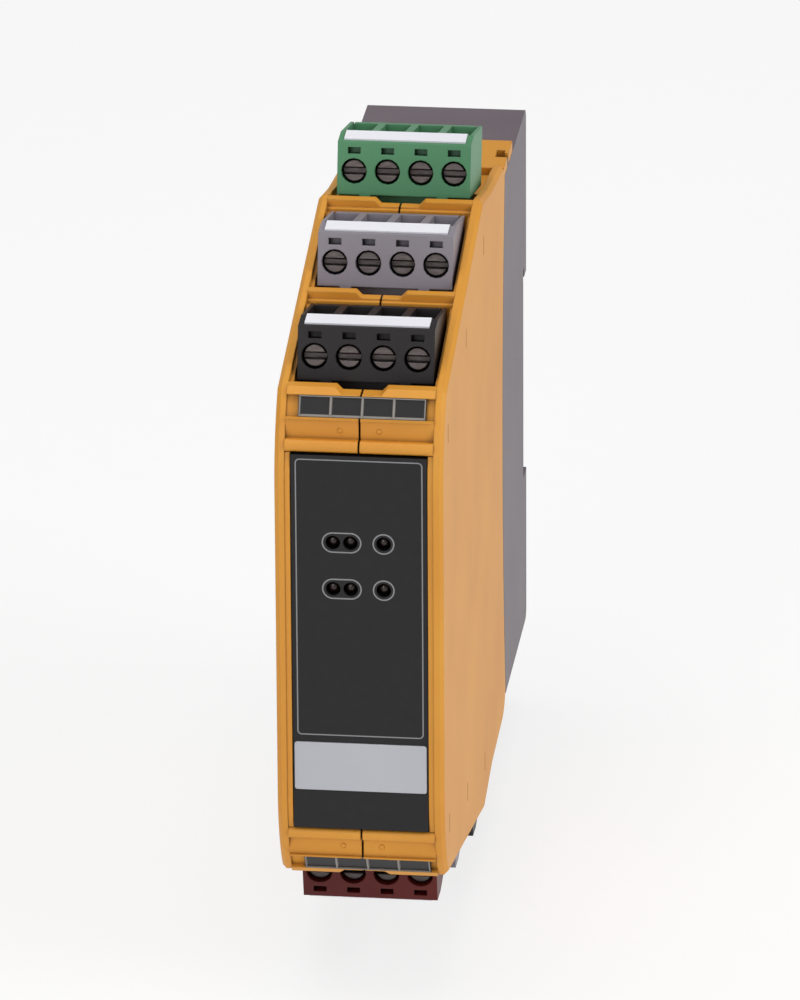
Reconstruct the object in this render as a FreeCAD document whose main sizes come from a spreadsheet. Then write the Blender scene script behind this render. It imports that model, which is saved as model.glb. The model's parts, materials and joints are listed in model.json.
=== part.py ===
"""Safety relay for a 35 mm top-hat rail, with six plug-in screw terminals.

Frame: X runs across the module, +Z is up, and the front faces -Y. The origin is the
middle of the seat that lies on the rail, so the rail's own plane is Y = 0.
Every length is in millimetres and every angle in degrees.
"""
import FreeCAD, Part
import math
import os
import Sketcher
from FreeCAD import Placement, Rotation, Vector

DOC = FreeCAD.newDocument("safety_relay")
PARTS = []

SIZES = {
    # the module as a whole, and its seat on the rail
    "front_reach": 116.5,
    "front_middle": 0.7,
    "foot_reach": 4.5,
    "rail_height": 35.2,
    "rail_flange": 1.3,
    "seat_relief": 0.2,
    "seat_clearance": 0.2,
    # side wall of a half shell, from the flat front to the bowed parting line
    "wall": 1.5,
    "flat_top": 25.0,
    "nose_radius": 22.5,
    "nose_height": 39.4,
    "roof_slope": 12.6,
    "peak_depth": 56.5,
    "shoulder_depth": 68.0,
    "shoulder_height": 48.4,
    "tail_depth": 84.0,
    "tail_height": 46.2,
    "tail_radius": 6.0,
    "parting_depth": 88.5,
    "parting_half": 43.4,
    "parting_bow": 4.0,
    "edge_bevel": 0.6,
    "seam_gap": 0.15,
    # tiers of plugs, and the cross bars between them
    "tiers": 3,
    "tier_pitch": 25.0,
    "first_plug_depth": 9.85,
    "first_plug_height": 38.7,
    "bar_clearance": 3.1,
    "bar_top_width": 1.8,
    "bar_ledge_width": 0.9,
    "bar_rise": 0.9,
    "bar_ledge_drop": 0.25,
    "bar_drop": 9.0,
    "dip_half": 3.8,
    "dip_depth": 0.9,
    "liner": 0.5,
    "liner_drop": 1.2,
    "liner_height": 12.0,
    "slit_width": 0.5,
    "slit_height": 3.0,
    "slit_lead": 2.4,
    "slit_drop": 6.7,
    # deck behind the last tier, and the tongue that laps over the rear housing
    "deck_depth": 78.1,
    "deck_height": 44.0,
    "deck_thickness": 1.5,
    "deck_wall_foot": 37.0,
    "tongue_height": 45.2,
    "tongue_foot": 43.5,
    "tongue_length": 11.3,
    "notch_inset": 3.6,
    "notch_length": 3.2,
    "notch_width": 1.9,
    "hook_width": 0.6,
    "hook_length": 1.3,
    "peg_clearance": 0.3,
    "peg_height": 1.2,
    # front frame: plate seat, bead, band, ledge and marker seat
    "strip_width": 0.8,
    "strip_depth": 3.4,
    "strip_recess": 0.25,
    "plate_top": 30.5,
    "plate_recess": 0.5,
    "plate_thickness": 1.5,
    "plate_clearance": 0.1,
    "front_wall": 1.4,
    "bead_half": 0.95,
    "bead_radius": 1.0,
    "bead_depth": 1.25,
    "bead_place": 31.65,
    "band_face": 2.2,
    "band_height": 2.95,
    "ledge_face": 1.65,
    "ledge_height": 0.25,
    "marker_face": 2.3,
    "marker_tilt": 31.0,
    "marker_inset": 0.65,
    "marker_height": 3.3,
    "marker_thickness": 0.8,
    "marker_cells": 4,
    "marker_border": 0.2,
    "marker_cell_depth": 0.2,
    "top_marker_shift": 0.3,
    "bottom_marker_shift": 0.6,
    "window_inset": 2.2,
    "window_low": -13.0,
    "window_high": 22.0,
    # lamps and label of the front plate
    "led_diameter": 1.9,
    "led_clearance": 0.15,
    "led_depth": 1.0,
    "led_step": 0.5,
    "lamp_high_row": 16.8,
    "lamp_low_row": 9.45,
    "lamp_single": 3.62,
    "lamp_pair_left": -3.9,
    "lamp_pair_right": -1.3,
    "label_inset": 0.2,
    "label_top": -15.2,
    "label_foot": -22.9,
    "label_thickness": 0.2,
    # rear housing
    "parting_gap": 0.3,
    "rear_wall": 2.5,
    "cavity_clearance": 0.08,
    "cavity_half_height": 40.6,
    "skirt_length": 8.5,
    "skirt_clearance": 0.1,
    "skirt_half_height": 41.9,
    "corner_radius": 1.8,
    "hook_bite": 1.6,
    # rail latch and its spring
    "latch_half": 5.9,
    "latch_face": 1.4,
    "latch_thickness": 2.6,
    "latch_clearance": 0.3,
    "latch_bite": 1.8,
    "latch_tab": 3.0,
    "latch_bevel": 1.5,
    "guide_width": 1.2,
    "guide_face": 2.2,
    "guide_thickness": 1.0,
    "guide_clearance": 0.2,
    "latch_window_half": 3.2,
    "latch_window_top": -24.0,
    "latch_window_foot": -35.0,
    "pry_slot_half": 2.2,
    "pry_slot_height": 1.2,
    "spring_peg_top": -33.2,
    "spring_peg_height": 1.5,
    "spring_breadth": 0.6,
    "spring_width": 1.6,
    "spring_half": 2.6,
    "spring_legs": 6,
    # plug with screw terminals
    "poles": 4,
    "pole_pitch": 5.08,
    "plug_clearance": 0.34,
    "round_sides": 16,
    "thread_sides": 8,
    "plug_front": 8.05,
    "plug_height": 9.15,
    "plug_bevel": 3.8,
    "plug_depth": 16.4,
    "mating_front": 3.0,
    "mating_back": 13.0,
    "rim_width": 0.55,
    "rim_groove": 0.25,
    "foot_place": 5.9,
    "foot_width": 1.7,
    "foot_drop": 0.8,
    "foot_depth": 1.2,
    "screw_height": 3.6,
    "screw_hole": 3.95,
    "test_width": 1.95,
    "test_height": 1.0,
    "test_rise": 3.15,
    "test_depth": 1.5,
    "funnel_rib": 1.18,
    "funnel_front": 5.2,
    "funnel_back": 14.9,
    "funnel_depth": 2.6,
    "throat_inset": 0.15,
    "throat_front": 7.4,
    "throat_back": 12.8,
    "throat_foot": -0.5,
    "socket_size": 1.7,
    "socket_depth": 6.8,
    # clamp, screw and marker strip of a plug
    "cage_clearance": 0.2,
    "cage_height": 5.4,
    "cage_wall": 0.7,
    "screw_head": 3.45,
    "screw_head_length": 1.8,
    "screw_recess": 0.7,
    "screw_shank": 2.2,
    "screw_reach": 10.6,
    "slot_width": 0.7,
    "slot_depth": 0.8,
    "strip_inset": 0.9,
    "strip_front_margin": 0.6,
    "strip_rear_margin": 0.1,
    "strip_thickness": 0.3,
    # pin header under a plug
    "header_wall": 0.7,
    "header_gap": 0.3,
    "header_top": -2.0,
    "header_foot": -10.5,
    "header_floor": 1.2,
    "pin_size": 1.0,
    "pin_head": -2.8,
    "pin_tail": -13.5,
    # boards and what they carry
    "board_thickness": 1.6,
    "front_board_depth": 6.0,
    "front_board_inset": 0.3,
    "front_board_low": -10.0,
    "front_board_high": 24.0,
    "board_front_half": 26.0,
    "relay_depth": 46.0,
    "relay_length": 38.0,
    "relay_thickness": 13.0,
    "relay_height": 24.0,
    "relay_gap": 6.0,
    "capacitor_diameter": 10.0,
    "capacitor_length": 12.0,
    "capacitor_depth": 98.0,
    "capacitor_place": 14.0,
    "chip_depth": 40.0,
    "chip_size": 10.0,
    "chip_thickness": 1.5,
    "chip_place": 14.0,
}

SHEET = DOC.addObject("Spreadsheet::Sheet", "Sizes")
for row, (alias, number) in enumerate(SIZES.items(), 1):
    SHEET.set(f"A{row}", alias)
    SHEET.set(f"B{row}", str(number))
    SHEET.setAlias(f"B{row}", alias)
DOC.recompute()


class Size:
    """A length worked out from the sheet: its number now, and the expression that gives it."""

    def __init__(self, number, text):
        self.number = float(number)
        self.text = text

    def __add__(self, other):
        other = as_size(other)
        return Size(self.number + other.number, f"({self.text} + {other.text})")

    def __sub__(self, other):
        other = as_size(other)
        return Size(self.number - other.number, f"({self.text} - {other.text})")

    def __mul__(self, other):
        other = as_size(other)
        return Size(self.number * other.number, f"({self.text} * {other.text})")

    def __truediv__(self, other):
        other = as_size(other)
        return Size(self.number / other.number, f"({self.text} / {other.text})")

    def __neg__(self):
        return Size(-self.number, f"(-{self.text})")


def as_size(value):
    return value if isinstance(value, Size) else Size(value, f"({value})")


def size(alias):
    """The sheet's value of this name."""
    return Size(SHEET.get(alias), f"Sizes.{alias}")


def sine(angle):
    return Size(math.sin(math.radians(angle.number)), f"sin({angle.text} * 1 deg)")


def cosine(angle):
    return Size(math.cos(math.radians(angle.number)), f"cos({angle.text} * 1 deg)")


def root(value):
    return Size(math.sqrt(value.number), f"sqrt({value.text})")


def count(alias):
    return int(round(SHEET.get(alias)))


# ---- sketches and features -------------------------------------------------------------


def arc_between(start, end, radius, side):
    """Centre of the arc from start to end; side is +1 where it lies left of the chord."""
    chord = end - start
    half = chord.Length / 2.0
    rise = math.sqrt(max(radius * radius - half * half, 0.0))
    left = Vector(-chord.y, chord.x, 0).normalize()
    return (start + end) * 0.5 + left * (rise * side)


def sketch_on(body, name, role, offset=None):
    """A sketch on one of the body's own origin planes, moved along its normal by offset."""
    sketch = body.newObject("Sketcher::SketchObject", name)
    origin_plane = [item for item in body.Origin.OriginFeatures if item.Role == role][0]
    sketch.AttachmentSupport = (origin_plane, "")
    sketch.MapMode = "FlatFace"
    if offset is not None:
        sketch.setExpression("AttachmentOffset.Base.z", offset.text)
    return sketch


def pin_point(sketch, geometry, end, corner):
    """Hold one end of a sketch edge at a corner given by two sizes."""
    for kind, length in (("DistanceX", corner[0]), ("DistanceY", corner[1])):
        index = sketch.addConstraint(
            Sketcher.Constraint(kind, -1, 1, geometry, end, length.number))
        sketch.setExpression(f"Constraints[{index}]", length.text)


def draw_loop(sketch, corners):
    """A closed outline. A corner is (x, y), or (x, y, radius, side) where an arc starts."""
    first = sketch.GeometryCount
    ends = []
    for place, corner in enumerate(corners):
        following = corners[(place + 1) % len(corners)]
        start = Vector(corner[0].number, corner[1].number, 0)
        end = Vector(following[0].number, following[1].number, 0)
        if len(corner) == 2:
            sketch.addGeometry(Part.LineSegment(start, end), False)
            ends.append((1, 2))
            continue
        radius, side = corner[2], corner[3]
        centre = arc_between(start, end, radius.number, side)
        angles = [math.atan2(point.y - centre.y, point.x - centre.x) for point in (start, end)]
        if side < 0:
            angles.reverse()
        circle = Part.Circle(centre, Vector(0, 0, 1), radius.number)
        index = sketch.addGeometry(Part.ArcOfCircle(circle, angles[0], angles[1]), False)
        ends.append((1, 2) if side > 0 else (2, 1))
        limit = sketch.addConstraint(Sketcher.Constraint("Radius", index, radius.number))
        sketch.setExpression(f"Constraints[{limit}]", radius.text)
    for place, corner in enumerate(corners):
        nearby = (place + 1) % len(corners)
        sketch.addConstraint(Sketcher.Constraint(
            "Coincident", first + place, ends[place][1], first + nearby, ends[nearby][0]))
        pin_point(sketch, first + place, ends[place][0], corner)


def rectangle(left, low, right, high):
    return [(left, low), (right, low), (right, high), (left, high)]


def many_sided(centre, radius):
    """Small round outline with a limited number of sides, to keep repeated pieces light."""
    turn = Size(360, "360") / size("round_sides")
    return [(centre[0] + radius * cosine(turn * side), centre[1] + radius * sine(turn * side))
            for side in range(count("round_sides"))]


def extrude(body, kind, name, role, loops, length, offset=None, centred=False, flipped=False):
    """A Pad or Pocket of outlines drawn on an origin plane of the body."""
    sketch = sketch_on(body, name + "_sketch", role, offset)
    for loop in loops:
        draw_loop(sketch, loop)
    before = body.Shape.Volume if body.Tip else 0.0
    feature = body.newObject("PartDesign::" + kind, name)
    feature.Profile = sketch
    feature.Midplane = centred
    feature.Reversed = flipped
    feature.setExpression("Length", length.text)
    DOC.recompute()
    grew = body.Shape.Volume - before
    if (kind == "Pad" and grew <= 0) or (kind == "Pocket" and grew >= 0):
        raise ValueError(f"{body.Label}: {name} changes nothing")
    return feature


def pad(body, name, role, loops, length, **how):
    return extrude(body, "Pad", name, role, loops, length, **how)


def pocket(body, name, role, loops, length, **how):
    return extrude(body, "Pocket", name, role, loops, length, **how)


def new_body(name):
    body = DOC.addObject("PartDesign::Body", name)
    body.Label = name
    PARTS.append(body)
    return body


def dress_edges(body, kind, name, feature, wanted, width):
    """Round or bevel the edges of the feature for which wanted(edge) is true."""
    names = [f"Edge{place}" for place, edge in enumerate(feature.Shape.Edges, 1) if wanted(edge)]
    dressed = body.newObject("PartDesign::" + kind, name)
    dressed.Base = (feature, names)
    dressed.setExpression("Radius" if kind == "Fillet" else "Size", width.text)
    DOC.recompute()
    if body.Shape.Volume >= feature.Shape.Volume:
        raise ValueError(f"{body.Label}: {name} changes nothing")


def repeat_poles(body, name, features):
    """Repeat features of the first pole over all the poles of a plug."""
    pattern = body.newObject("PartDesign::LinearPattern", name)
    pattern.Originals = features
    axis = [item for item in body.Origin.OriginFeatures if item.Role == "X_Axis"][0]
    pattern.Direction = (axis, [""])
    pattern.setExpression("Length", (POLE_PITCH * (size("poles") - 1)).text)
    pattern.setExpression("Occurrences", "Sizes.poles")
    body.Tip = pattern
    DOC.recompute()


def box(name, low, high):
    """A Part box between two corners given by sizes."""
    block = DOC.addObject("Part::Box", name)
    for length, axis, start, end in zip(("Length", "Width", "Height"), "xyz", low, high):
        block.setExpression(length, (end - start).text)
        block.setExpression(f"Placement.Base.{axis}", start.text)
    return block


def prism(name, sides, centre, radius, length, turn):
    """A rod with a number of flat sides that starts at centre and runs along +Z turned by turn."""
    rod = DOC.addObject("Part::Prism", name)
    rod.setExpression("Polygon", size(sides).text)
    rod.setExpression("Circumradius", radius.text)
    rod.setExpression("Height", length.text)
    rod.Placement.Rotation = turn
    for axis, place in zip("xyz", centre):
        rod.setExpression(f"Placement.Base.{axis}", place.text)
    return rod


def group(name, items):
    """Separate solids that share one node."""
    compound = DOC.addObject("Part::Compound", name)
    compound.Links = items
    compound.Label = name
    PARTS.append(compound)
    DOC.recompute()
    return compound


def cut(name, base, tool):
    result = DOC.addObject("Part::Cut", name)
    result.Base = base
    result.Tool = tool
    return result


# ---- places shared by several pieces -----------------------------------------------------

ZERO = Size(0, "0")
FRONT = size("front_reach")
SLOPE = size("roof_slope")
POLE_PITCH = size("pole_pitch")
PLUG_HALF = size("poles") * POLE_PITCH / 2
LINED = PLUG_HALF + size("plug_clearance")
INSIDE = LINED + size("liner")
HALF = INSIDE + size("wall")
PLATE_EDGE = INSIDE - size("strip_width")
FIRST_POLE = POLE_PITCH / 2 - PLUG_HALF
BOARD_FACE = -FIRST_POLE + size("pin_size") / 2
BOARD_FRONT = size("front_board_depth") + size("board_thickness")
BOARD_BACK = BOARD_FACE + size("board_thickness")
CAVITY_BACK = FRONT - size("rear_wall")
MATING_HALF = LINED - size("header_wall") - size("header_gap")
HEADER_FRONT = size("mating_front") - size("header_gap") - size("header_wall")
HEADER_BACK = size("mating_back") + size("header_gap") + size("header_wall")
TIERS = range(count("tiers"))
POLES = range(count("poles"))
SIDES = {"top": 1, "bottom": -1}
TIER_NAMES = ("front", "middle", "rear")
REARWARD = Rotation(Vector(1, 0, 0), -90)
SIDEWAYS = Rotation(Vector(0, 1, 0), 90)


def at(depth, height):
    """A point of a side outline, from its depth behind the front and its height."""
    return depth - FRONT, height


def nose_depth(height):
    """Depth of the rounded nose at a height above the flat part of the front."""
    radius = size("nose_radius")
    rise = height - size("flat_top")
    return radius - root(radius * radius - rise * rise)


def roof(depth):
    """Height of the sloping edge of a side wall at this depth."""
    run = depth - nose_depth(size("nose_height"))
    return size("nose_height") + run * sine(SLOPE) / cosine(SLOPE)


def plug_origin(tier):
    """Depth and height of the lower front edge of the plug on this tier."""
    step = size("tier_pitch") * tier
    rise = step * sine(SLOPE) / cosine(SLOPE)
    return size("first_plug_depth") + step, size("first_plug_height") + rise


def plug_point(tier, back, rise):
    """Where a point of a tilted plug lies in the side view of the module."""
    depth, height = plug_origin(tier)
    return (depth + back * cosine(SLOPE) + rise * sine(SLOPE),
            height - back * sine(SLOPE) + rise * cosine(SLOPE))


def below(height, middle=None):
    """Mirror of a height about the middle of the front, which lies above the rail's."""
    middle = size("front_middle") if middle is None else middle
    return middle * 2 - height


def turned(loop, up, middle=None):
    """A side outline as it lies at the top, or mirrored for the bottom."""
    if up > 0:
        return loop
    mirrored = []
    for place, corner in enumerate(loop):
        arc = loop[place - 1][2:]
        mirrored.append((corner[0], below(corner[1], middle)) + arc)
    return mirrored[::-1]


def both(make_loop, middle=None):
    """The same outline at the top and at the bottom."""
    return [turned(make_loop(), up, middle) for up in SIDES.values()]


def span(hand, start, end):
    """Where an extrusion starts and how long it is, for the right or the left half."""
    return {"offset": start if hand > 0 else -end, "length": end - start}


def seat_on_tier(piece, tier, up):
    """Tilt a piece drawn in the plug's own frame and put it in its place on a tier."""
    depth, height = plug_origin(tier)
    tilt = Rotation(Vector(1, 0, 0), -SLOPE.number)
    if up < 0:
        tilt = Rotation(Vector(0, 1, 0), 180).multiply(tilt)
    piece.Placement = Placement(Vector(0, 0, 0), tilt)
    piece.setExpression("Placement.Base.y", (depth - FRONT).text)
    piece.setExpression("Placement.Base.z", (height if up > 0 else below(height)).text)


# ---- half shells -------------------------------------------------------------------------


def side_outline():
    """Side wall, from the rounded nose up the roof to the bowed parting line."""
    nose = (size("nose_radius"), 1)
    nose_corner = nose_depth(size("nose_height"))
    rear = size("parting_depth")
    half = size("parting_half")
    bow = size("parting_bow")
    bow_radius = (half * half + bow * bow) / (bow * 2)
    tail = (size("tail_radius"), 1)
    return [
        at(nose_corner, below(size("nose_height"))),
        at(size("peak_depth"), below(roof(size("peak_depth")))),
        at(size("shoulder_depth"), below(size("shoulder_height"))),
        at(size("tail_depth"), -size("tail_height")) + tail,
        at(rear, -half) + (bow_radius, -1),
        at(rear, half),
        at(rear, size("tongue_height")),
        at(size("tail_depth"), size("tail_height")),
        at(size("shoulder_depth"), size("shoulder_height")),
        at(size("peak_depth"), roof(size("peak_depth"))),
        at(nose_corner, size("nose_height")) + nose,
        at(ZERO, size("flat_top")),
        at(ZERO, below(size("flat_top"))) + nose,
    ]


def bead_foot():
    return size("bead_place") - size("bead_half")


def nose_outline():
    """Bead, band, ledge and marker seat above the front plate, up to the first bar."""
    band = size("bead_place") + size("bead_half")
    ledge = band + size("band_height")
    marker = ledge + size("ledge_height")
    tilt = size("marker_tilt")
    deep = size("marker_thickness")
    tall = size("marker_height")
    face = size("marker_face")
    depth, height = plug_origin(0)
    back = depth - size("bar_clearance")
    bar_front = back - size("bar_top_width")
    wall_back = size("plate_recess") + size("plate_thickness") + size("front_wall")
    return [
        at(wall_back, bead_foot()),
        at(back, band),
        at(back, height + size("bar_rise")),
        at(bar_front, height + size("bar_rise")),
        at(face + tall * sine(tilt), marker + tall * cosine(tilt)),
        at(face + tall * sine(tilt) + deep * cosine(tilt),
           marker + tall * cosine(tilt) - deep * sine(tilt)),
        at(face + deep * cosine(tilt), marker - deep * sine(tilt)),
        at(face, marker),
        at(size("ledge_face"), marker),
        at(size("ledge_face"), ledge),
        at(size("band_face"), ledge),
        at(size("band_face"), band),
        at(size("bead_depth"), band) + (size("bead_radius"), 1),
        at(size("bead_depth"), bead_foot()),
    ]


def bar_outline(tier):
    """Cross bar between two plugs: a narrow top over a wider web."""
    depth, height = plug_origin(tier)
    back = depth - size("bar_clearance")
    front = back - size("bar_top_width")
    ledge = height - size("bar_ledge_drop")
    return [
        at(front - size("bar_ledge_width"), height - size("bar_drop")),
        at(back, height - size("bar_drop")),
        at(back, height + size("bar_rise")),
        at(front, height + size("bar_rise")),
        at(front, ledge),
        at(front - size("bar_ledge_width"), ledge),
    ]


def add_dip(body, hand, tier, up):
    """Lower the middle of a cross bar, with sloping ends."""
    depth, height = plug_origin(tier)
    past = size("seam_gap")
    back = depth - size("bar_clearance") + past
    top = height + size("bar_rise") + past
    floor = top - past - size("dip_depth")
    wide = size("dip_half") + past
    narrow = wide - size("dip_depth") - past
    corners = [(ZERO, floor), (narrow, floor), (wide, top), (ZERO, top)]
    if hand < 0:
        corners = [(-across, rise) for across, rise in corners][::-1]
    pocket(body, "dip", "XZ_Plane", [turned(corners, up)], offset=FRONT - back, flipped=True,
           length=size("bar_top_width") + size("bar_ledge_width"))


def liner_outline():
    """Inner rib of the side wall that guides the plugs and carries the headers."""
    front = plug_origin(0)[0] - size("bar_clearance")
    peak = size("peak_depth")
    rear = size("deck_depth")
    drop = size("liner_drop")
    foot = drop + size("liner_height")
    return [
        at(front, roof(front) - foot),
        at(peak, roof(peak) - foot),
        at(rear, size("deck_height") - size("liner_height") / 2),
        at(rear, size("tail_height") - drop / 2),
        at(size("shoulder_depth"), size("shoulder_height") - drop),
        at(peak, roof(peak) - drop),
        at(front, roof(front) - drop),
    ]


def deck_outline():
    """Wall behind the last plug and the flat deck that runs back to the parting line."""
    front = size("deck_depth")
    thick = size("deck_thickness")
    top = size("deck_height")
    return [
        at(front, size("deck_wall_foot")),
        at(front + thick, size("deck_wall_foot")),
        at(front + thick, top - thick),
        at(size("parting_depth"), top - thick),
        at(size("parting_depth"), top),
        at(front, top),
    ]


def slit_outline(tier):
    """Narrow upright slit in the side wall beside a cross bar."""
    depth, height = plug_origin(tier)
    left = at(depth - size("slit_lead"), height)[0] - size("slit_width") / 2
    low = height - size("slit_drop") - size("slit_height") / 2
    return rectangle(left, low, left + size("slit_width"), low + size("slit_height"))


def strip_outline():
    """Edge strip beside the front plate: set back a little, and rounded like the nose."""
    foot = bead_foot()
    recess = size("strip_recess")
    arc = (size("nose_radius"), 1)
    return [
        at(size("strip_depth"), below(foot)),
        at(size("strip_depth"), foot),
        at(nose_depth(foot) + recess, foot) + arc,
        at(recess, size("flat_top")),
        at(recess, below(size("flat_top"))) + arc,
        at(nose_depth(foot) + recess, below(foot)),
    ]


def add_side_wall(body, hand):
    """Side wall with bevelled outer edges, slits, and the liner inside it."""
    wall = pad(body, "side_wall", "YZ_Plane", [side_outline()], **span(hand, INSIDE, HALF))
    parting = (size("parting_depth") - FRONT).number

    def on_outer_edge(edge):
        outside = all(abs(point.X - hand * HALF.number) < 1e-4 for point in edge.Vertexes)
        return outside and not all(point.Y > parting - 1e-4 for point in edge.Vertexes)

    dress_edges(body, "Chamfer", "outer_edge", wall, on_outer_edge, size("edge_bevel"))
    slits = [turned(slit_outline(tier), up) for tier in TIERS for up in SIDES.values()]
    pocket(body, "slits", "YZ_Plane", slits, flipped=True, **span(hand, INSIDE, HALF))
    pad(body, "liners", "YZ_Plane", both(liner_outline), **span(hand, LINED, INSIDE))


def add_front_frame(body, hand):
    """Everything round the front plate: nose blocks, edge strip and the wall behind it."""
    seam = size("seam_gap")
    pad(body, "nose_blocks", "YZ_Plane", both(nose_outline), **span(hand, seam, INSIDE))
    pad(body, "edge_strip", "YZ_Plane", [strip_outline()], **span(hand, PLATE_EDGE, INSIDE))
    seat = at(size("plate_recess") + size("plate_thickness"), ZERO)[0]
    foot = bead_foot()
    wall = rectangle(seat, below(foot), seat + size("front_wall"), foot)
    pad(body, "front_wall", "YZ_Plane", [wall], **span(hand, seam, INSIDE))
    window = rectangle(seat - seam, size("window_low"),
                       seat + size("front_wall") + seam, size("window_high"))
    pocket(body, "window", "YZ_Plane", [window], flipped=True,
           **span(hand, ZERO, PLATE_EDGE - size("window_inset")))


def add_bars(body, hand):
    """Cross bars of all tiers, each lowered in the middle, and the decks at the rear."""
    seam = size("seam_gap")
    bars = [turned(bar_outline(tier), up) for tier in TIERS[1:] for up in SIDES.values()]
    pad(body, "cross_bars", "YZ_Plane", bars, **span(hand, seam, INSIDE))
    for tier in TIERS:
        for up in SIDES.values():
            add_dip(body, hand, tier, up)
    pad(body, "decks", "YZ_Plane", both(deck_outline, ZERO), **span(hand, seam, INSIDE))


def add_tongue(body, hand):
    """Tongue that laps over the rear housing, with a hooked notch at its side."""
    start = size("parting_depth") - size("wall")
    end = size("parting_depth") + size("tongue_length")
    low = size("tongue_foot")
    high = size("tongue_height")
    plate = rectangle(at(start, low)[0], low, at(end, high)[0], high)
    pad(body, "tongue", "YZ_Plane", [plate], **span(hand, size("seam_gap"), HALF))
    front = at(size("parting_depth") + size("notch_inset"), low)[0]
    back = front + size("notch_length")
    inner = HALF - size("notch_width")
    hook = HALF - size("hook_width")
    past = HALF + size("wall")
    corners = [
        (inner, front),
        (past, front),
        (past, back - size("hook_length")),
        (hook, back - size("hook_length")),
        (hook, back),
        (inner, back),
    ]
    notch = corners if hand > 0 else [(-across, along) for across, along in corners][::-1]
    pocket(body, "notch", "XY_Plane", [notch], length=high - low + size("wall"),
           offset=high + size("wall") / 2)


def make_shell(name, hand):
    """One of the two half shells that meet along the middle of the module."""
    body = new_body(name)
    add_side_wall(body, hand)
    add_front_frame(body, hand)
    add_bars(body, hand)
    add_tongue(body, hand)


# ---- rear housing, rail latch and spring -------------------------------------------------


def rear_outline():
    """Rear housing from the parting line to the rail recess and its fixed hook."""
    start = size("parting_depth") + size("parting_gap")
    half = size("parting_half")
    bow = size("parting_bow")
    foot = FRONT + size("foot_reach")
    rail = size("rail_height") / 2
    hook = FRONT + size("rail_flange")
    relief = FRONT - size("seat_relief")
    seat = rail - size("latch_bite") - size("seat_clearance")
    return [
        at(start, -half),
        at(foot, -half),
        at(foot, -rail),
        at(relief, -rail),
        at(relief, -seat),
        at(FRONT, -seat),
        at(FRONT, seat),
        at(relief, seat),
        at(relief, rail),
        at(hook, rail),
        at(hook, rail - size("hook_bite")),
        at(foot, rail - size("hook_bite")),
        at(foot, half),
        at(start, half) + ((half * half + bow * bow) / (bow * 2), 1),
    ]


def latch_channel(clear):
    """Half width and depths of the latch and of its guides, widened by a clearance."""
    return size("latch_half") + clear, size("latch_half") + size("guide_width") + clear


def add_latch_channel(body):
    """Channel the latch slides in, its guide grooves, and the peg its spring stands on."""
    half, guide_half = latch_channel(size("latch_clearance"))
    rail = size("rail_height") / 2
    floor = size("latch_face")
    foot = size("foot_reach")
    past = size("wall")
    low = -size("parting_half")
    channel = rectangle(-half, low - past, half, past - rail)
    pocket(body, "latch_channel", "XZ_Plane", [channel], length=foot - floor + past,
           offset=-floor)
    groove = rectangle(-guide_half, low - past, guide_half, past - rail)
    gap = size("guide_clearance")
    pocket(body, "guide_grooves", "XZ_Plane", [groove],
           length=size("guide_thickness") + gap * 2, offset=gap - size("guide_face"))
    top = size("spring_peg_top")
    peg = rectangle(-size("spring_half"), top - size("spring_peg_height"),
                    size("spring_half"), top)
    pad(body, "spring_peg", "XZ_Plane", [peg], length=size("latch_thickness"), offset=-floor,
        flipped=True)


def make_rear_housing():
    """Grey rear housing with its skirt, cavity, rail recess and latch channel."""
    body = new_body("rear_housing")
    block = pad(body, "block", "YZ_Plane", [rear_outline()], length=HALF * 2, centred=True)
    back = size("foot_reach").number
    corner = size("parting_half").number

    def on_rear_corner(edge):
        return all(abs(point.Y - back) < 1e-4 and abs(abs(point.Z) - corner) < 1e-4
                   for point in edge.Vertexes)

    dress_edges(body, "Fillet", "rear_corners", block, on_rear_corner, size("corner_radius"))
    front = at(size("parting_depth") - size("skirt_length"), ZERO)[0]
    half = size("skirt_half_height")
    skirt = rectangle(front, -half, at(size("parting_depth"), half)[0], half)
    pad(body, "skirt", "YZ_Plane", [skirt], centred=True,
        length=(INSIDE - size("skirt_clearance")) * 2)
    height = size("cavity_half_height")
    cavity = rectangle(front - size("wall"), -height, at(CAVITY_BACK, height)[0], height)
    pocket(body, "cavity", "YZ_Plane", [cavity], centred=True,
           length=(BOARD_BACK + size("cavity_clearance")) * 2)
    add_latch_channel(body)
    gap = size("peg_clearance")
    peg_front = at(size("parting_depth") + size("notch_inset") + gap, ZERO)[0]
    peg_back = peg_front + size("notch_length") - gap * 2 - size("hook_length")
    inner = HALF - size("notch_width") + gap
    pegs = [rectangle(inner, peg_front, HALF, peg_back),
            rectangle(-HALF, peg_front, -inner, peg_back)]
    pad(body, "hook_pegs", "XY_Plane", pegs, length=size("peg_height"),
        offset=size("parting_half"))


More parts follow.
